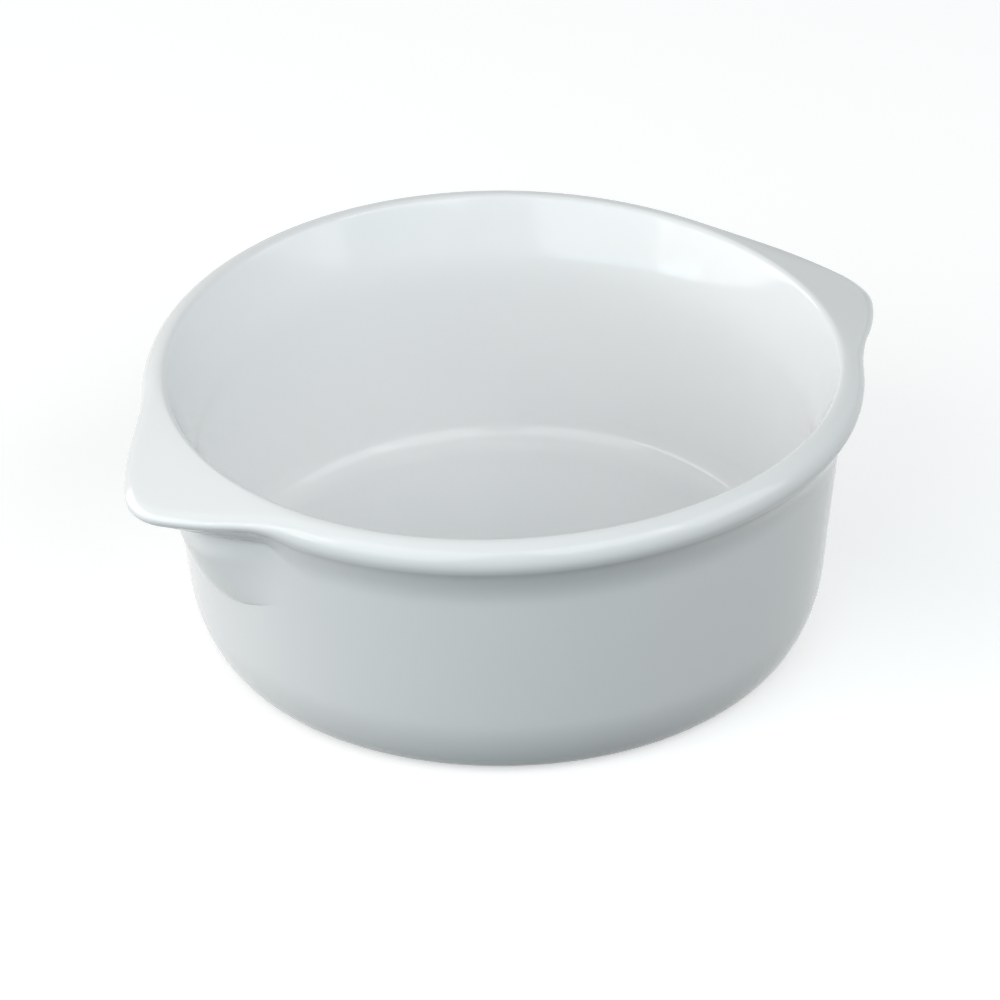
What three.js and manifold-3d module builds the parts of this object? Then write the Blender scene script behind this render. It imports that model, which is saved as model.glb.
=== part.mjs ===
// Mini casserole dish in glazed porcelain: a round bowl with a rolled rim and two lug handles.
// Millimetres, +Z up. The origin is on the table under the middle of the bowl, the lugs lie along X.
// A profile is drawn in its own plane, where x is the distance from the bowl's axis and y the height.

import * as THREE from 'three';
import { mergeVertices } from 'three/addons/utils/BufferGeometryUtils.js';
import Module from 'manifold-3d';

const wasm = await Module();
wasm.setup();

// Driving dimensions of the bowl
const RIM_DIAMETER = 130;
const HEIGHT = 53.3;
const RIM_THICKNESS = 7;
const RIM_OVERHANG = 3.6;
const RIM_FILLET = 16;
const RIM_INNER_RADIUS = 1.2;
const RIM_DIP = 0.8;
const WALL_THICKNESS = 3.7;
const WALL_TOP_THICKNESS = 5;
const WALL_TAPER = 3.9;
const FLARE_HEIGHT = 16;
const FLARE_ANGLE = 24;
const CORNER_WIDTH = 7.7;
const CORNER_HEIGHT = 12.8;
const FLOOR_HEIGHT = 5.5;
const FLOOR_FILLET = 6;
const FOOT_WIDTH = 5;
const FOOT_RECESS = 2;

// Driving dimensions of a lug, drawn out of the rim, and of the corbel that carries it
const LUG_REACH = 10.5;
const LUG_DROOP = 4.3;
const LUG_WIDTH = 62;
const LUG_TIP_ROUNDING = 5;
const LUG_ROOT_ROUNDING = 14;
const LUG_EDGE_ANGLE = 60;
const LUG_FILLET = 2;
const LUG_BLEND_RUN = 12;
const ROLL_THINNING = 2.4;
const CORBEL_FOOT = 25;
const CORBEL_FOOT_RISE = 6;
const CORBEL_REACH = 6.5;
const CORBEL_WIDTH = 36;
const LUTING_GAP = 0.3;

// Fullness of the curves, as a share of the distance to the corner that they round off
const CORNER_FULLNESS = 0.47;
const FLARE_FULLNESS = 0.6;

// Fineness of the facets
const TURN_SEGMENTS = 96;
const LUG_STATIONS = 32;
const BEAD_STEPS = 14;
const CORNER_STEPS = 8;
const HOLLOW_STEPS = 6;
const WALL_STEPS = 5;
const CORBEL_STEPS = 10;
const INSIDE_STEPS = 6;
const LIP_STEPS = 4;

const { clamp, degToRad, lerp, smoothstep } = THREE.MathUtils;
const point = (x, y) => new THREE.Vector2(x, y);

// The outer wall leans out from the base corner to the rim
const rimRadius = RIM_DIAMETER / 2;
const beadRadius = RIM_THICKNESS / 2;
const bead = point(rimRadius - beadRadius, HEIGHT - beadRadius);
const wallTop = point(rimRadius - RIM_OVERHANG, HEIGHT - RIM_THICKNESS);
const wallFoot = point(wallTop.x - WALL_TAPER, CORNER_HEIGHT);
const wallAlong = wallTop.clone().sub(wallFoot).normalize();
const wallOutward = point(wallAlong.y, -wallAlong.x);
const wallRadius = (z) => wallFoot.x + (z - wallFoot.y) * wallAlong.x / wallAlong.y;

// Distance along the rim from the middle of the nearer lug
const fromLug = (turn) => Math.abs(turn - Math.round(turn / Math.PI) * Math.PI) * rimRadius;

// One over most of a lug, easing to none at its roots
const atLug = (turn) => 1 - smoothstep(fromLug(turn), LUG_WIDTH / 2 - LUG_BLEND_RUN, LUG_WIDTH / 2);

// The hollow under the rim is an arc that touches the wall, at the neck, and the rim's bead
function hollowUnderRim(fillet) {
  const onLine = wallTop.clone().addScaledVector(wallOutward, fillet);
  const toBead = bead.clone().sub(onLine);
  const nearest = toBead.dot(wallAlong);
  const apart = toBead.dot(wallOutward);
  const back = Math.sqrt((beadRadius + fillet) ** 2 - apart ** 2);
  const centre = onLine.addScaledVector(wallAlong, nearest - back);
  return {
    fillet,
    centre,
    neck: centre.clone().addScaledVector(wallOutward, -fillet),
    from: Math.atan2(-wallOutward.y, -wallOutward.x) + 2 * Math.PI,
    to: bead.clone().sub(centre).angle(),
    beadFrom: centre.clone().sub(bead).angle() - 2 * Math.PI,
  };
}

// It is wide between the lugs and tight under them
const hollowAt = (turn) => hollowUnderRim(lerp(RIM_FILLET, LUG_FILLET, atLug(turn)));
const corbelTop = hollowUnderRim(LUG_FILLET).neck.y;
const lugEdge = degToRad(LUG_EDGE_ANGLE);

// Points along an arc, both ends included
function arc(centre, radius, from, to, steps) {
  const curve = new THREE.EllipseCurve(centre.x, centre.y, radius, radius, from, to, to < from);
  return curve.getPoints(steps);
}

// The outside at a turn, from the foot ring's edge up to the rim's crest, grown by a clearance
function outsideProfile(turn, grow) {
  const hollow = hollowAt(turn);
  const cornerFrom = point(wallFoot.x - CORNER_WIDTH + grow, -grow);
  const cornerTo = wallFoot.clone().addScaledVector(wallOutward, grow);
  const corner = new THREE.CubicBezierCurve(
    cornerFrom,
    point(cornerFrom.x + CORNER_WIDTH * CORNER_FULLNESS, cornerFrom.y),
    cornerTo.clone().addScaledVector(wallAlong, -CORNER_HEIGHT * CORNER_FULLNESS),
    cornerTo,
  );
  const wall = new THREE.LineCurve(cornerTo, hollow.neck.clone().addScaledVector(wallOutward, grow));
  return [
    ...corner.getPoints(CORNER_STEPS),
    ...wall.getPoints(WALL_STEPS).slice(1, -1),
    ...arc(hollow.centre, hollow.fillet - grow, hollow.from, hollow.to, HOLLOW_STEPS),
    ...arc(bead, beadRadius + grow, hollow.beadFrom, Math.PI / 2, BEAD_STEPS).slice(1),
  ];
}

// The inside from the rim's crest over the flare and down to the floor's middle
function insideProfile() {
  const lip = point(bead.x, HEIGHT - RIM_INNER_RADIUS);
  const flareAngle = degToRad(FLARE_ANGLE);
  const crest = arc(lip, RIM_INNER_RADIUS, Math.PI / 2, Math.PI - flareAngle, LIP_STEPS);
  const flareTop = crest.at(-1);
  const flareFootHeight = HEIGHT - FLARE_HEIGHT;
  const flareFoot = point(wallRadius(flareFootHeight) - WALL_TOP_THICKNESS, flareFootHeight);
  const filletTop = FLOOR_HEIGHT + FLOOR_FILLET;
  const fillet = point(wallRadius(filletTop) - WALL_THICKNESS - FLOOR_FILLET, filletTop);
  const insideAlong = flareFoot.clone().sub(point(fillet.x + FLOOR_FILLET, filletTop)).normalize();
  const pull = (flareTop.y - flareFoot.y) * FLARE_FULLNESS;
  const flare = new THREE.CubicBezierCurve(
    flareTop,
    flareTop.clone().sub(point(Math.sin(flareAngle), Math.cos(flareAngle)).multiplyScalar(pull)),
    flareFoot.clone().addScaledVector(insideAlong, pull / 2),
    flareFoot,
  );
  return [
    ...crest.slice(1),
    ...flare.getPoints(INSIDE_STEPS).slice(1),
    ...arc(fillet, FLOOR_FILLET, 0, -Math.PI / 2, INSIDE_STEPS),
    point(0, FLOOR_HEIGHT),
  ];
}

// The underside: a flat foot ring round a shallow recess
function undersideProfile() {
  const footInside = wallFoot.x - CORNER_WIDTH - FOOT_WIDTH;
  return [point(0, FOOT_RECESS), point(footInside - FOOT_RECESS, FOOT_RECESS), point(footInside, 0)];
}

// How much of the roll's thinning a point of the outside takes: most where the roll turns under
function rollShare(p, { neck, beadFrom }) {
  const turnedTo = Math.atan2(p.y - bead.y, p.x - bead.x);
  const atNeck = Math.atan2(neck.y - bead.y, neck.x - bead.x);
  if (p.x < neck.x || turnedTo < atNeck) return 0;
  if (turnedTo < beadFrom) return (turnedTo - atNeck) / (beadFrom - atNeck);
  return 1 - smoothstep(turnedTo, beadFrom, lugEdge);
}

// The rim is a gentle saddle: it dips at the lugs and rises between them. Its roll is thinner at the lugs.
function rimHeight(p, turn) {
  const dip = RIM_DIP * Math.cos(2 * turn) * smoothstep(p.y, CORNER_HEIGHT, HEIGHT);
  return p.y - dip + ROLL_THINNING * atLug(turn) * rollShare(p, hollowAt(turn));
}

// A closed body round the axis, with a profile at each turn that starts and ends on the axis
function revolve(profileAt) {
  const geometry = new THREE.LatheGeometry(profileAt(0), TURN_SEGMENTS);
  const place = geometry.getAttribute('position');
  for (let i = 0; i <= TURN_SEGMENTS; i += 1) {
    const turn = (i % TURN_SEGMENTS) / TURN_SEGMENTS * 2 * Math.PI;
    const profile = profileAt(turn);
    profile.forEach((p, j) => {
      const height = rimHeight(p, turn);
      place.setXYZ(i * profile.length + j, p.x * Math.cos(turn), p.x * Math.sin(turn), height);
    });
  }
  return welded(geometry);
}

// Weld the seam and the axis, and drop the triangles that shrink to nothing there
function welded(geometry) {
  geometry.deleteAttribute('normal');
  geometry.deleteAttribute('uv');
  const merged = mergeVertices(geometry);
  const corners = Array.from(merged.index.array);
  const kept = [];
  for (let i = 0; i < corners.length; i += 3) {
    const [a, b, c] = corners.slice(i, i + 3);
    if (a !== b && b !== c && c !== a) kept.push(a, b, c);
  }
  merged.setIndex(kept);
  return merged;
}

function toSolid(geometry) {
  const vertProperties = new Float32Array(geometry.getAttribute('position').array);
  const triVerts = new Uint32Array(geometry.index.array);
  return new wasm.Manifold(new wasm.Mesh({ numProp: 3, vertProperties, triVerts }));
}

function toGeometry(solid) {
  const mesh = solid.getMesh();
  const geometry = new THREE.BufferGeometry();
  geometry.setAttribute('position', new THREE.BufferAttribute(mesh.vertProperties, 3));
  geometry.setIndex(new THREE.BufferAttribute(mesh.triVerts, 1));
  return geometry;
}

// A bend that starts level and reaches the full slope of one after a run
function easedIn(x, run) {
  if (x < 0) return 0;
  return x < run ? x * x / (2 * run) : x - run / 2;
}

// How far a lug stands out at a turn: straight flanks with a rounded tip and rounded roots
function lugShare(turn) {
  const half = LUG_WIDTH / 2;
  const along = Math.min(fromLug(turn), half);
  const rootFrom = half - LUG_ROOT_ROUNDING;
  const fallen = easedIn(along, LUG_TIP_ROUNDING) - easedIn(along - rootFrom, LUG_ROOT_ROUNDING);
  return 1 - fallen / (half - (LUG_TIP_ROUNDING + LUG_ROOT_ROUNDING) / 2);
}

// How far the corbel stands out at a height: a dome in plan, with a foot that rises towards its sides
function corbelShare(turn, z) {
  const aside = Math.min(fromLug(turn) / (CORBEL_WIDTH / 2), 1) ** 2;
  const foot = CORBEL_FOOT + CORBEL_FOOT_RISE * aside;
  return (1 - aside) * clamp((z - foot) / (corbelTop - foot), 0, 1);
}

// One section through the lug: corbel, hollow and bead of the bowl, drawn outwards and down
function lugSection(turn) {
  const reach = LUG_REACH * lugShare(turn);
  const droop = LUG_DROOP * lugShare(turn);
  const { fillet, centre, neck, from, to, beadFrom } = hollowAt(turn);
  const drawn = (p, out, down) => point(p.x + out, rimHeight(p, turn) - down);
  const section = [];
  for (let i = 0; i <= CORBEL_STEPS; i += 1) {
    const share = i / CORBEL_STEPS;
    const z = lerp(CORBEL_FOOT, neck.y, share);
    section.push(drawn(point(wallRadius(z), z), CORBEL_REACH * corbelShare(turn, z), droop * share));
  }
  const stand = CORBEL_REACH * corbelShare(turn, neck.y);
  arc(centre, fillet, from, to, HOLLOW_STEPS).forEach((p, i) => {
    if (i > 0) section.push(drawn(p, lerp(stand, reach, i / HOLLOW_STEPS), droop));
  });
  for (const p of arc(bead, beadRadius, beadFrom, Math.PI / 2, BEAD_STEPS).slice(1)) {
    const share = 1 - smoothstep(Math.atan2(p.y - bead.y, p.x - bead.x), lugEdge, Math.PI / 2);
    section.push(drawn(p, reach * share, droop * share));
  }
  const buried = wallRadius(CORBEL_FOOT) - WALL_THICKNESS;
  section.push(point(buried, bead.y), point(buried, CORBEL_FOOT));
  return section;
}

// Skin over a row of sections that turn about the bowl's axis, closed by a flat face at each end
function turnedLoft(turns, sectionAt) {
  const sections = turns.map(sectionAt);
  const size = sections[0].length;
  const place = [];
  sections.forEach((section, i) => {
    for (const p of section) place.push(p.x * Math.cos(turns[i]), p.x * Math.sin(turns[i]), p.y);
  });
  const faces = [];
  for (let i = 0; i + 1 < turns.length; i += 1) {
    for (let j = 0; j < size; j += 1) {
      const [a, b] = [i * size + j, i * size + (j + 1) % size];
      faces.push(a, a + size, b, b, a + size, b + size);
    }
  }
  const last = (turns.length - 1) * size;
  for (const [a, b, c] of THREE.ShapeUtils.triangulateShape(sections[0], [])) faces.push(a, b, c);
  for (const [a, b, c] of THREE.ShapeUtils.triangulateShape(sections.at(-1), [])) {
    faces.push(last + a, last + c, last + b);
  }
  const geometry = new THREE.BufferGeometry();
  geometry.setAttribute('position', new THREE.Float32BufferAttribute(place, 3));
  geometry.setIndex(faces);
  return geometry;
}

// The bowl with its own shape, and the room that a lug leaves for it and for the slip between them
function bowlProfile(turn) {
  return [...undersideProfile(), ...outsideProfile(turn, 0), ...insideProfile()];
}

function roomProfile(turn) {
  const outside = outsideProfile(turn, LUTING_GAP);
  return [point(0, outside[0].y), ...outside, point(0, outside.at(-1).y)];
}

function makeLug() {
  const halfTurn = LUG_WIDTH / 2 / rimRadius;
  const turns = [];
  for (let i = 0; i <= LUG_STATIONS; i += 1) turns.push(lerp(-halfTurn, halfTurn, i / LUG_STATIONS));
  const drawnOut = toSolid(turnedLoft(turns, lugSection));
  return toGeometry(drawnOut.subtract(toSolid(revolve(roomProfile))));
}

const porcelain = (color, roughness) => new THREE.MeshStandardMaterial({ color, roughness, metalness: 0 });

const dish = new THREE.Group();
const bowl = new THREE.Mesh(revolve(bowlProfile), porcelain(0xdfe4e5, 0.12));
bowl.name = 'bowl';
dish.add(bowl);

const lugGeometry = makeLug();
for (const [name, turn] of [['lug_right', 0], ['lug_left', Math.PI]]) {
  const lug = new THREE.Mesh(lugGeometry, porcelain(0xe6e9ea, 0.12));
  lug.name = name;
  lug.rotation.z = turn;
  dish.add(lug);
}

export default dish;
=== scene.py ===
import math

import bpy
import numpy as np
from mathutils import Matrix, Vector


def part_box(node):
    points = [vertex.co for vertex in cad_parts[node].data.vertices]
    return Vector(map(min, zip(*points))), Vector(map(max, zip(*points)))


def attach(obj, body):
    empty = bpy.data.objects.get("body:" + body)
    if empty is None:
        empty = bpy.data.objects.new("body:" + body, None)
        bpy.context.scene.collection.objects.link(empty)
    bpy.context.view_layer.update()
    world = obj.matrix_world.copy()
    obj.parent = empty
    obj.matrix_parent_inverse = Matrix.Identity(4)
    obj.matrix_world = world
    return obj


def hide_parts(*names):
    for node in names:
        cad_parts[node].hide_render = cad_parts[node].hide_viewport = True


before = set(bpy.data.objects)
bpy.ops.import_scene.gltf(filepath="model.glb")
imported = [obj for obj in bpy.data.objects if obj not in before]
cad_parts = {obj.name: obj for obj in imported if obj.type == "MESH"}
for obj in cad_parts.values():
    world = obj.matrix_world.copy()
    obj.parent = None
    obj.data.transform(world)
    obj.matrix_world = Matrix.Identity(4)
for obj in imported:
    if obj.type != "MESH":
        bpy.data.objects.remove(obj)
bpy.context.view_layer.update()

MM = 0.001

# Sizes of the bowl, in metres
RIM_THICKNESS = 7 * MM
RIM_OVERHANG = 3.6 * MM
RIM_FILLET = 16 * MM
RIM_INNER_RADIUS = 1.2 * MM
RIM_DIP = 0.8 * MM
WALL_THICKNESS = 3.7 * MM
WALL_TOP_THICKNESS = 5 * MM
WALL_TAPER = 3.9 * MM
FLARE_HEIGHT = 16 * MM
FLARE_ANGLE = math.radians(24)
FLARE_FULLNESS = 0.6
CORNER_WIDTH = 7.7 * MM
CORNER_HEIGHT = 12.8 * MM
CORNER_FULLNESS = 0.47
FLOOR_HEIGHT = 5.5 * MM
FLOOR_FILLET = 6 * MM
FOOT_WIDTH = 5 * MM
FOOT_RECESS = 2 * MM
FOOT_SLOPE = math.radians(45)
FOOT_EDGE = 0.5 * MM
FOOT_BARE_HEIGHT = 0.3 * MM

# Sizes of a lug and of the corbel under it
LUG_REACH = 10.5 * MM
LUG_DROOP = 4.3 * MM
LUG_WIDTH = 62 * MM
LUG_TIP_ROUNDING = 5 * MM
LUG_ROOT_ROUNDING = 14 * MM
LUG_EDGE_ANGLE = math.radians(60)
LUG_FILLET = 2 * MM
LUG_BLEND_RUN = 12 * MM
ROLL_THINNING = 2.4 * MM
CORBEL_FOOT = 25 * MM
CORBEL_FOOT_RISE = 6 * MM
CORBEL_REACH = 4.6 * MM
CORBEL_WIDTH = 42 * MM
CORBEL_FULLNESS = 0.5
CORBEL_SHOULDER = 0.65
CORBEL_SET_BACK = 0.35

# Where the skin stands out by more than this it is a lug, whose back lies in a deeper seat of the bowl
LUG_STANDS_OUT = 0.25 * MM
LUG_BACK_DEPTH = 0.4 * MM
BOWL_SEAT_DEPTH = 0.8 * MM

# Columns round the dish, which lie close together at the lugs
LUG_COLUMN_STEP = 0.75 * MM
PLAIN_COLUMNS = 84

# Rows along the section, from the middle of the underside to the middle of the floor
RECESS_ROWS = 14
FOOT_SLOPE_ROWS = 4
FOOT_EDGE_ROWS = 4
FOOT_ROWS = 6
CORNER_ROWS = 24
WALL_ROWS = 8
CORBEL_ROWS = 26
HOLLOW_ROWS = 14
ROLL_ROWS = 22
CREST_ROWS = 24
LIP_ROWS = 10
FLARE_ROWS = 22
INNER_WALL_ROWS = 14
FLOOR_FILLET_ROWS = 16
FLOOR_ROWS = 20

# How strongly the rows draw together at the corbel's foot, below it and above it
WALL_ROW_EASING = 3
CORBEL_ROW_EASING = 1.6

# Looks of the glaze and of the bare foot ring
GLAZE_TINT = (0.868, 0.878, 0.884)
GLAZE_IOR = 1.5
GLAZE_ROUGHNESS = 0.11
GLAZE_UNEVENNESS = 0.2
BISCUIT_TINT = (0.80, 0.78, 0.74)
BISCUIT_ROUGHNESS = 0.85
MOTTLE_FROM = 0.3
MOTTLE_TO = 0.7

# The floor under the dish: its grey as light meets it, and its shading and glow as the camera sees it
FLOOR_HALF_SIZE = 4
FLOOR_DROP = 0.1 * MM
FLOOR_GREY = 0.02
FLOOR_SHADED = 0.75
FLOOR_GLOW = 0.5

# Distance of the lamps, level of the world, and the colours of both
SOFTBOX_DISTANCE = 0.9
WORLD_LEVEL = 0.22
WHITE = (1, 1, 1)
WARM_LIGHT = (1, 0.94, 0.91)
COOL_LIGHT = (0.5, 0.9, 1)
AMBIENT_LIGHT = (0.84, 0.975, 1)

# The camera: where it looks from, in degrees, its distance and target, and the scale at the target
VIEW_AZIMUTH = -28.74
VIEW_ELEVATION = 31.15
VIEW_ROLL = -1.17
VIEW_DISTANCE = 2.0
VIEW_TARGET_SIDE = -1.0 * MM
VIEW_TARGET_HEIGHT = 24.76 * MM
PICTURE_PIXELS = 1000
PIXELS_PER_METRE = 5527
SENSOR_MM = 36

# Shares of a point that the lugs leave where it is, and a length that is as good as none
NO_SHARES = (0, 0, 0, 0)
NO_LENGTH = 1e-15

rim_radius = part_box("bowl")[1].x
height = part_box("bowl")[1].z - RIM_DIP


def point(r, z):
    """A place in the section, at a radius and a height."""
    return np.array([r, z], float)


# The outer wall leans out from the base corner to the rim's bead
bead_radius = RIM_THICKNESS / 2
bead = point(rim_radius - bead_radius, height - bead_radius)
wall_top = point(rim_radius - RIM_OVERHANG, height - RIM_THICKNESS)
wall_foot = point(wall_top[0] - WALL_TAPER, CORNER_HEIGHT)
wall_along = (wall_top - wall_foot) / np.linalg.norm(wall_top - wall_foot)
wall_outward = point(wall_along[1], -wall_along[0])
foot_outside = point(wall_foot[0] - CORNER_WIDTH, 0)


def wall_radius(z):
    return wall_foot[0] + (z - wall_foot[1]) * wall_along[0] / wall_along[1]


def angle_of(vector):
    return math.atan2(vector[1], vector[0])


def hollow_under_rim(fillet):
    """Centre of the arc that touches the wall and the rim's bead, and the arc's foot on the wall."""
    on_line = wall_top + wall_outward * fillet
    to_bead = bead - on_line
    nearest = to_bead @ wall_along
    apart = to_bead @ wall_outward
    back = math.sqrt((bead_radius + fillet) ** 2 - apart ** 2)
    centre = on_line + wall_along * (nearest - back)
    return centre, centre - wall_outward * fillet


corbel_top = hollow_under_rim(LUG_FILLET)[1][1]


def smoothstep(x, low, high):
    share = np.clip((x - low) / (high - low), 0, 1)
    return share * share * (3 - 2 * share)


def even_steps(count):
    """Shares of a run, from none to one."""
    return [i / count for i in range(count + 1)]


def along(start, end, shares):
    return [start + (end - start) * s for s in shares]


def line(start, end, count):
    return along(start, end, even_steps(count))


def arc(centre, radius, start, end, count):
    return [centre + radius * point(math.cos(t), math.sin(t)) for t in line(start, end, count)]


def bezier(a, b, c, d, count):
    return [a * (1 - t) ** 3 + b * 3 * t * (1 - t) ** 2 + c * 3 * t * t * (1 - t) + d * t ** 3
            for t in even_steps(count)]


class Profile:
    """Points of the dish's section, each with its shares in what the lugs do to the plain bowl.

    The shares are those in the lug's reach, in its droop, in the corbel and in the roll's thinning.
    """

    def __init__(self):
        self.points = []
        self.shares = []
        self.bead_rows = None

    def add(self, points, shares=None):
        """Adds a stretch, without its first point where the stretch before ended there."""
        skip = 1 if self.points else 0
        given = shares if shares is not None else [NO_SHARES] * len(points)
        self.points += points[skip:]
        self.shares += given[skip:]


def add_underside(profile):
    """The recess, its slope and the flat of the foot ring."""
    foot_inside = foot_outside[0] - FOOT_WIDTH
    recess_edge = point(foot_inside - FOOT_RECESS / math.tan(FOOT_SLOPE), FOOT_RECESS)
    centre = point(foot_inside + FOOT_EDGE * math.tan(FOOT_SLOPE / 2), FOOT_EDGE)
    downward = 3 * math.pi / 2
    rounding = arc(centre, FOOT_EDGE, downward - FOOT_SLOPE, downward, FOOT_EDGE_ROWS)
    profile.add(line(point(0, FOOT_RECESS), recess_edge, RECESS_ROWS))
    profile.add(line(recess_edge, rounding[0], FOOT_SLOPE_ROWS))
    profile.add(rounding)
    profile.add(line(rounding[-1], foot_outside, FOOT_ROWS))


def add_wall(profile, neck, foot_height):
    """The base corner, the wall up to the corbel's foot and the corbel's stretch up to the neck."""
    out_of_foot = foot_outside + point(CORNER_WIDTH * CORNER_FULLNESS, 0)
    into_wall = wall_foot - wall_along * CORNER_HEIGHT * CORNER_FULLNESS
    profile.add(bezier(foot_outside, out_of_foot, into_wall, wall_foot, CORNER_ROWS))
    corbel_foot = point(wall_radius(foot_height), foot_height)
    climb = [1 - (1 - s) ** WALL_ROW_EASING for s in even_steps(WALL_ROWS)]
    profile.add(along(wall_foot, corbel_foot, climb))
    climb = [s ** CORBEL_ROW_EASING for s in even_steps(CORBEL_ROWS)]
    profile.add(along(corbel_foot, neck, climb), [(0, s, 1, 0) for s in climb])


def add_hollow(profile, hollow, neck, fillet):
    """The arc under the rim, over which the lug reaches out, the corbel ends and the roll thins."""
    wall_side = angle_of(-wall_outward) % (2 * math.pi)
    under = arc(hollow, fillet, wall_side, angle_of(bead - hollow), HOLLOW_ROWS)
    at_neck = angle_of(neck - bead)
    at_bead = angle_of(hollow - bead)
    thinning = [(angle_of(p - bead) - at_neck) / (at_bead - at_neck) for p in under]
    profile.add(under, [(s, 1, 1 - s, t) for s, t in zip(even_steps(HOLLOW_ROWS), thinning)])


def add_bead(profile, start):
    """The rim's bead: the roll, which is a lug's edge, and the crest, on which a lug's top runs out."""
    first_row = len(profile.points)
    thinning = [1 - smoothstep(s, 0, 1) for s in even_steps(ROLL_ROWS)]
    roll = arc(bead, bead_radius, start, LUG_EDGE_ANGLE, ROLL_ROWS)
    profile.add(roll, [(1, 1, 0, t) for t in thinning])
    drawn = [1 - smoothstep(s, 0, 1) for s in even_steps(CREST_ROWS)]
    crest = arc(bead, bead_radius, LUG_EDGE_ANGLE, math.pi / 2, CREST_ROWS)
    profile.add(crest, [(d, d, 0, 0) for d in drawn])
    profile.bead_rows = slice(first_row, len(profile.points))


def add_inside(profile):
    """The lip, the flare below it, the inner wall and the floor."""
    lip_centre = point(bead[0], height - RIM_INNER_RADIUS)
    lip = arc(lip_centre, RIM_INNER_RADIUS, math.pi / 2, math.pi - FLARE_ANGLE, LIP_ROWS)
    flare_foot_height = height - FLARE_HEIGHT
    flare_foot = point(wall_radius(flare_foot_height) - WALL_TOP_THICKNESS, flare_foot_height)
    fillet_height = FLOOR_HEIGHT + FLOOR_FILLET
    fillet = point(wall_radius(fillet_height) - WALL_THICKNESS - FLOOR_FILLET, fillet_height)
    inner_foot = fillet + point(FLOOR_FILLET, 0)
    inner_along = (flare_foot - inner_foot) / np.linalg.norm(flare_foot - inner_foot)
    flare_along = point(math.sin(FLARE_ANGLE), math.cos(FLARE_ANGLE))
    pull = (lip[-1][1] - flare_foot_height) * FLARE_FULLNESS
    out_of_lip = lip[-1] - flare_along * pull
    into_inner_wall = flare_foot + inner_along * pull / 2
    profile.add(lip)
    profile.add(bezier(lip[-1], out_of_lip, into_inner_wall, flare_foot, FLARE_ROWS))
    profile.add(line(flare_foot, inner_foot, INNER_WALL_ROWS))
    profile.add(arc(fillet, FLOOR_FILLET, 0, -math.pi / 2, FLOOR_FILLET_ROWS))
    profile.add(line(fillet - point(0, FLOOR_FILLET), point(0, FLOOR_HEIGHT), FLOOR_ROWS))


def build_profile(fillet, foot_height):
    """The whole section, with a fillet under the rim and the corbel's foot at a height."""
    hollow, neck = hollow_under_rim(fillet)
    profile = Profile()
    add_underside(profile)
    add_wall(profile, neck, foot_height)
    add_hollow(profile, hollow, neck, fillet)
    add_bead(profile, angle_of(hollow - bead))
    add_inside(profile)
    return profile


def from_lug(turns):
    """Distance along the rim from the middle of the nearer lug."""
    return np.abs(turns - np.round(turns / math.pi) * math.pi) * rim_radius


def at_lug(turns):
    """One over most of a lug, easing to none at its roots."""
    return 1 - smoothstep(from_lug(turns), LUG_WIDTH / 2 - LUG_BLEND_RUN, LUG_WIDTH / 2)


def eased_in(x, run):
    """A bend that starts level and reaches the full slope of one after a run."""
    return np.where(x < 0, 0, np.where(x < run, x * x / (2 * run), x - run / 2))


def lug_share(turns):
    """How far a lug stands out: straight flanks with a rounded tip and rounded roots."""
    half = LUG_WIDTH / 2
    aside = np.minimum(from_lug(turns), half)
    root_from = half - LUG_ROOT_ROUNDING
    fallen = eased_in(aside, LUG_TIP_ROUNDING) - eased_in(aside - root_from, LUG_ROOT_ROUNDING)
    return 1 - fallen / (half - (LUG_TIP_ROUNDING + LUG_ROOT_ROUNDING) / 2)


def corbel_aside(turns):
    """None at the middle of a corbel and one from its sides on."""
    return np.minimum(from_lug(turns) / (CORBEL_WIDTH / 2), 1)


def corbel_foot_height(turns):
    """The corbel's round foot, which rises towards its sides."""
    return CORBEL_FOOT + CORBEL_FOOT_RISE * corbel_aside(turns) ** 2


def corbel_share(turns, z):
    """How far the corbel stands out: a soft dome in plan, full above its foot.

    Its top falls back from the shoulder to the hollow under the lug.
    """
    dome = (1 + np.cos(math.pi * corbel_aside(turns))) / 2
    foot = corbel_foot_height(turns)
    rise = np.clip((z - foot) / (corbel_top - foot), 0, 1)
    set_back = CORBEL_SET_BACK * smoothstep(rise, CORBEL_SHOULDER, 1)
    return dome * rise ** CORBEL_FULLNESS * (1 - set_back)


def base_grid(turns):
    """Sections at the turns: the plain bowl's points, their shares in the lugs and the bead's rows.

    Rows run along the section and columns round the dish. The hollow under the rim is wide between
    the lugs and tight under them.
    """
    fillets = RIM_FILLET + (LUG_FILLET - RIM_FILLET) * at_lug(turns)
    foot_heights = corbel_foot_height(turns)
    profiles = [build_profile(fillet, foot) for fillet, foot in zip(fillets, foot_heights)]
    points = np.array([profile.points for profile in profiles]).transpose(2, 1, 0)
    shares = np.array([profile.shares for profile in profiles], float).transpose(2, 1, 0)
    return points, shares, profiles[0].bead_rows


def rim_shape(z, thinning, turns):
    """Heights with the rim's saddle, which dips at the lugs, and with its roll thinned at the lugs."""
    dip = RIM_DIP * np.cos(2 * turns) * smoothstep(z, CORNER_HEIGHT, height)
    return z - dip + ROLL_THINNING * at_lug(turns) * thinning


def skin_section(points, shares, turns):
    """Radii and heights of the finished skin."""
    r, z = points
    out, down, corbel, thinning = shares
    lug = lug_share(turns)
    skin_r = r + LUG_REACH * lug * out + CORBEL_REACH * corbel * corbel_share(turns, z)
    skin_z = rim_shape(z, thinning, turns) - LUG_DROOP * lug * down
    return skin_r, skin_z


def plain_section(points, shares, turns):
    """Radii and heights of the bowl's own skin without the lugs."""
    r, z = points
    thinning = shares[-1]
    return r, rim_shape(z, thinning, turns)


def to_space(r, z, turns):
    return np.stack([r * np.cos(turns), r * np.sin(turns), z], -1)


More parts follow.
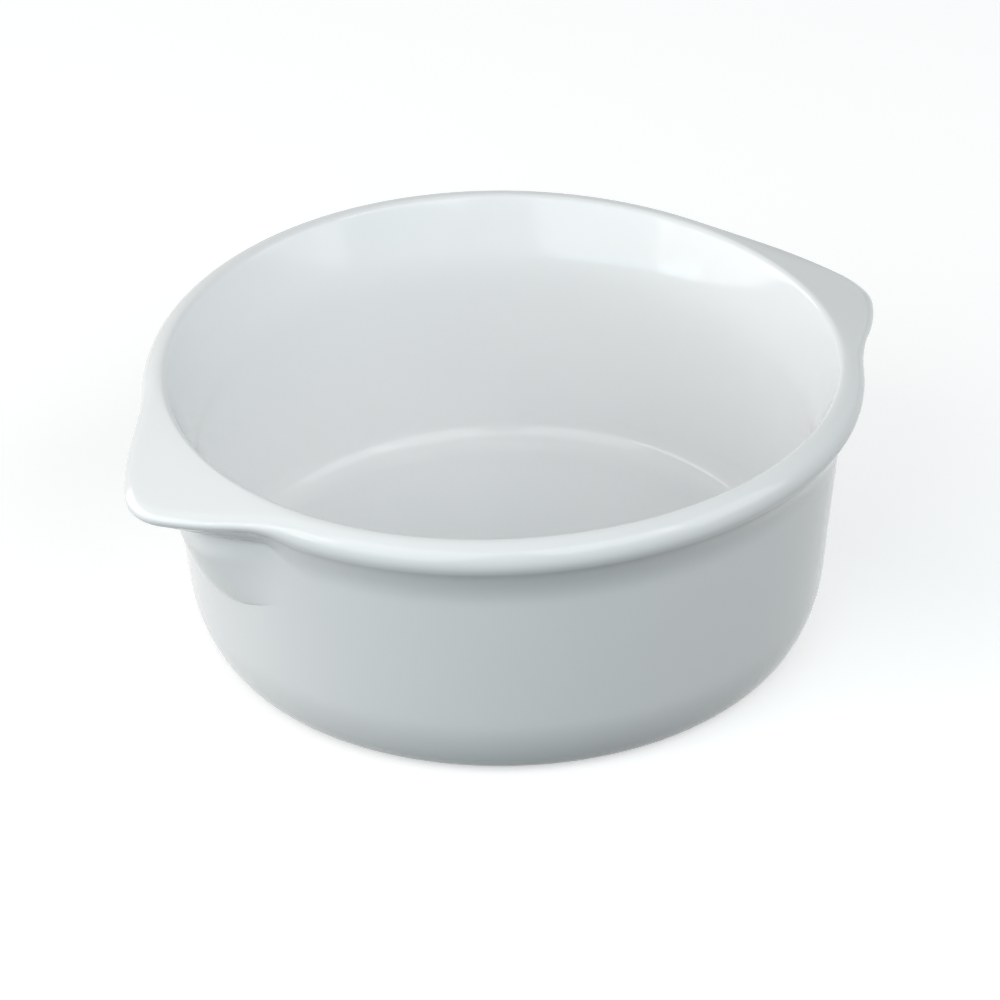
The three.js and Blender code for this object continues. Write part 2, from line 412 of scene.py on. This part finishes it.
def unit(vectors):
    return vectors / np.maximum(np.linalg.norm(vectors, axis=-1, keepdims=True), NO_LENGTH)


def grid_normals(grid):
    """Smooth normals of a grid that closes round its columns: the mean over the corners at each place."""
    up = np.roll(grid, -1, 0) - grid
    up[-1] = grid[-1] - grid[-2]
    down = np.roll(grid, 1, 0) - grid
    down[0] = grid[0] - grid[1]
    ahead = np.roll(grid, -1, 1) - grid
    behind = np.roll(grid, 1, 1) - grid
    corners = [(ahead, up), (up, behind), (behind, down), (down, ahead)]
    return unit(sum(unit(np.cross(a, b)) for a, b in corners))


def nearest_on_bead(r, z, turns):
    """Distance from the rim's bead, the nearest place of the bead and the way out from it."""
    centre_z = rim_shape(bead[1], 0, turns)
    reach = np.hypot(r - bead[0], z - centre_z)
    way_r = (r - bead[0]) / reach
    way_z = (z - centre_z) / reach
    nearest = to_space(bead[0] + bead_radius * way_r, centre_z + bead_radius * way_z, turns)
    return reach - bead_radius, nearest, to_space(way_r, way_z, turns)


def seats_of_lugs(section, skin, plain, bead_rows, turns):
    """Where the skin stands out as a lug, the bowl's own places under it and the way out from them.

    A lug's top is drawn out along the bead, so there it is measured from the nearest place of the bead.
    """
    base = plain.copy()
    out = grid_normals(plain)
    apart = ((skin - plain) * out).sum(-1)
    from_bead, nearest, way = nearest_on_bead(*[side[bead_rows] for side in section], turns)
    further = from_bead > apart[bead_rows]
    apart[bead_rows] = np.where(further, from_bead, apart[bead_rows])
    base[bead_rows] = np.where(further[..., None], nearest, base[bead_rows])
    out[bead_rows] = np.where(further[..., None], way, out[bead_rows])
    return apart > LUG_STANDS_OUT, base, out


def split_quad(quad, inner):
    """Two triangles of a quad, both with a corner inside a footprint, if the quad has any."""
    a, b, c, d = quad
    if inner[a] or inner[c]:
        return [(a, b, c), (a, c, d)]
    return [(b, c, d), (b, d, a)]


def cut_faces(number, footprint):
    """The grid's faces: plain quads off the footprint, and triangles on it."""
    inner = footprint.ravel().tolist()
    following = np.roll(number, -1, 1)
    corners = [number[:-1], following[:-1], following[1:], number[1:]]
    quads = np.stack(corners, -1).reshape(-1, 4).tolist()
    off = [tuple(q) for q in quads if not any(inner[i] for i in q)]
    on = [t for q in quads if any(inner[i] for i in q) for t in split_quad(q, inner)]
    return off, on


def middle_faces(number):
    """Triangles round the middle of the underside and round the middle of the floor."""
    underside = number.size
    floor = number.size + 1
    following = np.roll(number, -1, 1)
    faces = [(underside, b, a) for a, b in zip(number[0].tolist(), following[0].tolist())]
    faces += [(floor, a, b) for a, b in zip(number[-1].tolist(), following[-1].tolist())]
    return faces


def new_piece(name, places, faces, loop_normals):
    mesh = bpy.data.meshes.new(name)
    mesh.from_pydata([tuple(p) for p in places], [], faces)
    mesh.polygons.foreach_set("use_smooth", [True] * len(mesh.polygons))
    mesh.update()
    mesh.normals_split_custom_set(loop_normals)
    piece = bpy.data.objects.new(name, mesh)
    bpy.context.scene.collection.objects.link(piece)
    return piece


def piece_of(name, places, normals, shown, hidden):
    """A piece with smooth skin faces and flat hidden ones, keeping only the places that it uses."""
    faces = shown + hidden
    used = sorted({i for face in faces for i in face})
    renumbered = {old: new for new, old in enumerate(used)}
    loops = [normals[i] for face in shown for i in face]
    for face in hidden:
        a, b, c = (places[i] for i in face)
        loops += [unit(np.cross(b - a, c - b))] * len(face)
    moved = [tuple(renumbered[i] for i in face) for face in faces]
    return new_piece(name, places[used], moved, loops)


def make_pieces(turns):
    """The bowl with a seat sunk under each lug, and the lugs that fill the seats."""
    points, shares, bead_rows = base_grid(turns)
    section = skin_section(points, shares, turns)
    skin = to_space(*section, turns)
    plain = to_space(*plain_section(points, shares, turns), turns)
    stands_out, base, out = seats_of_lugs(section, skin, plain, bead_rows, turns)

    # The first row and the last are one place each, the middle of the underside and of the floor
    footprint = stands_out[1:-1]
    count = footprint.size
    number = np.arange(count).reshape(footprint.shape)
    off_lugs, on_lugs = cut_faces(number, footprint)
    front = skin[1:-1].reshape(-1, 3)
    normals = grid_normals(skin)[1:-1].reshape(-1, 3)

    def sunk(depth):
        return np.where(stands_out[..., None], base - out * depth, skin)[1:-1].reshape(-1, 3)

    bowl_places = np.vstack([sunk(BOWL_SEAT_DEPTH), skin[0, :1], skin[-1, :1]])
    bowl_normals = np.vstack([normals, [(0, 0, -1), (0, 0, 1)]])
    bowl_shown = off_lugs + middle_faces(number)
    pieces = {"bowl": piece_of("bowl_glazed", bowl_places, bowl_normals, bowl_shown, on_lugs)}

    lug_places = np.vstack([front, sunk(LUG_BACK_DEPTH)])
    behind = np.where(footprint, number + count, number).ravel().tolist()
    for node, side in (("lug_right", 1), ("lug_left", -1)):
        shown = [face for face in on_lugs if front[face[0]][0] * side > 0]
        hidden = [tuple(behind[i] for i in reversed(face)) for face in shown]
        pieces[node] = piece_of(node + "_glazed", lug_places, normals, shown, hidden)
    return pieces


def column_turns():
    """Turns of the columns, close together over the lugs."""
    half = LUG_WIDTH / 2 / rim_radius
    fine = np.linspace(-half, half, 2 * round(LUG_WIDTH / 2 / LUG_COLUMN_STEP) + 1)
    wide = np.linspace(half, math.pi - half, PLAIN_COLUMNS // 2 + 1)[1:-1]
    return np.concatenate([fine, wide, fine + math.pi, wide + math.pi])


def new_material(name):
    material = bpy.data.materials.new(name)
    material.use_nodes = True
    return material


def add_noise(tree, scale, detail):
    """Soft patches that are fixed to the piece."""
    place = tree.nodes.new("ShaderNodeTexCoord")
    noise = tree.nodes.new("ShaderNodeTexNoise")
    noise.inputs["Scale"].default_value = scale
    noise.inputs["Detail"].default_value = detail
    tree.links.new(place.outputs["Object"], noise.inputs["Vector"])
    return noise.outputs["Fac"]


def add_mottle(tree, patches, tint, darkest):
    """The material's tint, a little darker in patches."""
    colour = tree.nodes.new("ShaderNodeValToRGB")
    dark, light = colour.color_ramp.elements
    dark.position = MOTTLE_FROM
    light.position = MOTTLE_TO
    dark.color = (*[c * darkest for c in tint], 1)
    light.color = (*tint, 1)
    tree.links.new(patches, colour.inputs["Fac"])
    tree.links.new(colour.outputs["Color"], tree.nodes["Principled BSDF"].inputs["Base Color"])


def add_bump(tree, patches, strength, depth):
    bump = tree.nodes.new("ShaderNodeBump")
    bump.inputs["Strength"].default_value = strength
    bump.inputs["Distance"].default_value = depth
    tree.links.new(patches, bump.inputs["Height"])
    tree.links.new(bump.outputs["Normal"], tree.nodes["Principled BSDF"].inputs["Normal"])


def glaze_material():
    """White porcelain under a clear glaze, whose gloss and surface are a little uneven."""
    material = new_material("porcelain_glaze")
    tree = material.node_tree
    shader = tree.nodes["Principled BSDF"]
    shader.inputs["IOR"].default_value = GLAZE_IOR
    clouds = add_noise(tree, scale=28, detail=3)
    add_mottle(tree, clouds, GLAZE_TINT, darkest=0.985)
    gloss = tree.nodes.new("ShaderNodeMapRange")
    gloss.inputs["To Min"].default_value = GLAZE_ROUGHNESS * (1 - GLAZE_UNEVENNESS)
    gloss.inputs["To Max"].default_value = GLAZE_ROUGHNESS * (1 + GLAZE_UNEVENNESS)
    tree.links.new(clouds, gloss.inputs["Value"])
    tree.links.new(gloss.outputs["Result"], shader.inputs["Roughness"])
    waves = add_noise(tree, scale=70, detail=1)
    add_bump(tree, waves, strength=0.05, depth=1 * MM)
    return material


def biscuit_material():
    """Unglazed porcelain: matt, with a fine grain."""
    material = new_material("porcelain_biscuit")
    tree = material.node_tree
    tree.nodes["Principled BSDF"].inputs["Roughness"].default_value = BISCUIT_ROUGHNESS
    grain = add_noise(tree, scale=900, detail=4)
    add_mottle(tree, grain, BISCUIT_TINT, darkest=0.9)
    add_bump(tree, grain, strength=0.3, depth=0.1 * MM)
    return material


def bare_foot(mesh, biscuit):
    """Leaves the flat of the foot ring without glaze."""
    mesh.materials.append(biscuit)
    for face in mesh.polygons:
        if all(mesh.vertices[i].co.z < FOOT_BARE_HEIGHT for i in face.vertices):
            face.material_index = 1


def dress_dish():
    glaze = glaze_material()
    biscuit = biscuit_material()
    for node, piece in make_pieces(column_turns()).items():
        piece.data.materials.append(glaze)
        if node == "bowl":
            bare_foot(piece.data, biscuit)
        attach(piece, "root")
        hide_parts(node)


def seen_directly(tree):
    """One for what the camera sees, also in gloss and through glass, and none for light on things."""
    path = tree.nodes.new("ShaderNodeLightPath")
    seen = path.outputs["Is Camera Ray"]
    for kind in ("Is Glossy Ray", "Is Transmission Ray"):
        either = tree.nodes.new("ShaderNodeMath")
        either.operation = "MAXIMUM"
        tree.links.new(seen, either.inputs[0])
        tree.links.new(path.outputs[kind], either.inputs[1])
        seen = either.outputs[0]
    return seen


def floor_material():
    """A floor that looks white and keeps the dish's shadow, and throws little light back up."""
    material = new_material("floor_pale")
    tree = material.node_tree
    tree.nodes.clear()
    grey = tree.nodes.new("ShaderNodeBsdfDiffuse")
    grey.inputs["Color"].default_value = (*[FLOOR_GREY] * 3, 1)
    shaded = tree.nodes.new("ShaderNodeBsdfDiffuse")
    shaded.inputs["Color"].default_value = (*[FLOOR_SHADED] * 3, 1)
    glow = tree.nodes.new("ShaderNodeEmission")
    glow.inputs["Strength"].default_value = FLOOR_GLOW
    pale = tree.nodes.new("ShaderNodeAddShader")
    tree.links.new(shaded.outputs[0], pale.inputs[0])
    tree.links.new(glow.outputs[0], pale.inputs[1])
    choice = tree.nodes.new("ShaderNodeMixShader")
    tree.links.new(seen_directly(tree), choice.inputs["Fac"])
    tree.links.new(grey.outputs[0], choice.inputs[1])
    tree.links.new(pale.outputs[0], choice.inputs[2])
    surface = tree.nodes.new("ShaderNodeOutputMaterial")
    tree.links.new(choice.outputs[0], surface.inputs["Surface"])
    return material


def make_floor():
    sides = [(-1, -1), (1, -1), (1, 1), (-1, 1)]
    corners = [(x * FLOOR_HALF_SIZE, y * FLOOR_HALF_SIZE, -FLOOR_DROP) for x, y in sides]
    mesh = bpy.data.meshes.new("floor")
    mesh.from_pydata(corners, [], [(0, 1, 2, 3)])
    mesh.materials.append(floor_material())
    floor = bpy.data.objects.new("floor", mesh)
    bpy.context.scene.collection.objects.link(floor)


def from_camera_side(azimuth, elevation):
    """The way out from the dish, in degrees, with the azimuth counted from the camera's own."""
    turn = math.radians(VIEW_AZIMUTH + azimuth)
    lift = math.radians(elevation)
    level = math.cos(lift)
    return Vector((math.sin(turn) * level, -math.cos(turn) * level, math.sin(lift)))


def make_softbox(name, azimuth, elevation, width, tall, power, colour):
    lamp = bpy.data.lights.new(name, "AREA")
    lamp.shape = "RECTANGLE"
    lamp.size = width
    lamp.size_y = tall
    lamp.energy = power
    lamp.color = colour
    softbox = bpy.data.objects.new(name, lamp)
    softbox.location = from_camera_side(azimuth, elevation) * SOFTBOX_DISTANCE
    aim = Vector((0, 0, height / 2)) - softbox.location
    softbox.rotation_euler = aim.to_track_quat("-Z", "Y").to_euler()
    bpy.context.scene.collection.objects.link(softbox)


def make_lights():
    make_softbox("left", azimuth=-35, elevation=36, width=0.74, tall=0.8, power=2.5, colour=WHITE)
    make_softbox("left_low", azimuth=-46, elevation=7, width=0.9, tall=0.2, power=0.9, colour=COOL_LIGHT)
    make_softbox("side", azimuth=-93, elevation=19, width=1.3, tall=0.56, power=5.7, colour=WARM_LIGHT)
    make_softbox("right", azimuth=33, elevation=42, width=0.64, tall=0.6, power=2.1, colour=WHITE)
    make_softbox("right_low", azimuth=42, elevation=12, width=0.8, tall=0.3, power=0.3, colour=COOL_LIGHT)
    make_softbox("right_side", azimuth=74, elevation=32, width=0.6, tall=0.65, power=1.7, colour=WHITE)


def make_world():
    """A background that looks white and lights the dish at a low level."""
    world = bpy.data.worlds.new("studio")
    world.use_nodes = True
    tree = world.node_tree
    level = tree.nodes.new("ShaderNodeMixRGB")
    level.inputs["Color1"].default_value = (*[WORLD_LEVEL * c for c in AMBIENT_LIGHT], 1)
    level.inputs["Color2"].default_value = (*WHITE, 1)
    tree.links.new(seen_directly(tree), level.inputs["Fac"])
    tree.links.new(level.outputs["Color"], tree.nodes["Background"].inputs["Color"])
    bpy.context.scene.world = world


def make_camera():
    turn = math.radians(VIEW_AZIMUTH)
    roll = math.radians(VIEW_ROLL)
    back = from_camera_side(0, VIEW_ELEVATION)
    right = Vector((math.cos(turn), math.sin(turn), 0))
    up = back.cross(right)
    rolled_right = right * math.cos(roll) + up * math.sin(roll)
    rolled_up = up * math.cos(roll) - right * math.sin(roll)
    target = right * VIEW_TARGET_SIDE + Vector((0, 0, VIEW_TARGET_HEIGHT))
    lens = bpy.data.cameras.new("camera")
    lens.sensor_width = SENSOR_MM
    lens.lens = PIXELS_PER_METRE * VIEW_DISTANCE / PICTURE_PIXELS * SENSOR_MM
    camera = bpy.data.objects.new("camera", lens)
    pose = Matrix((rolled_right, rolled_up, back)).transposed().to_4x4()
    pose.translation = target + back * VIEW_DISTANCE
    camera.matrix_world = pose
    bpy.context.scene.collection.objects.link(camera)
    bpy.context.scene.camera = camera


dress_dish()
make_floor()
make_lights()
make_world()
make_camera()
bpy.context.scene.view_settings.view_transform = "Standard"
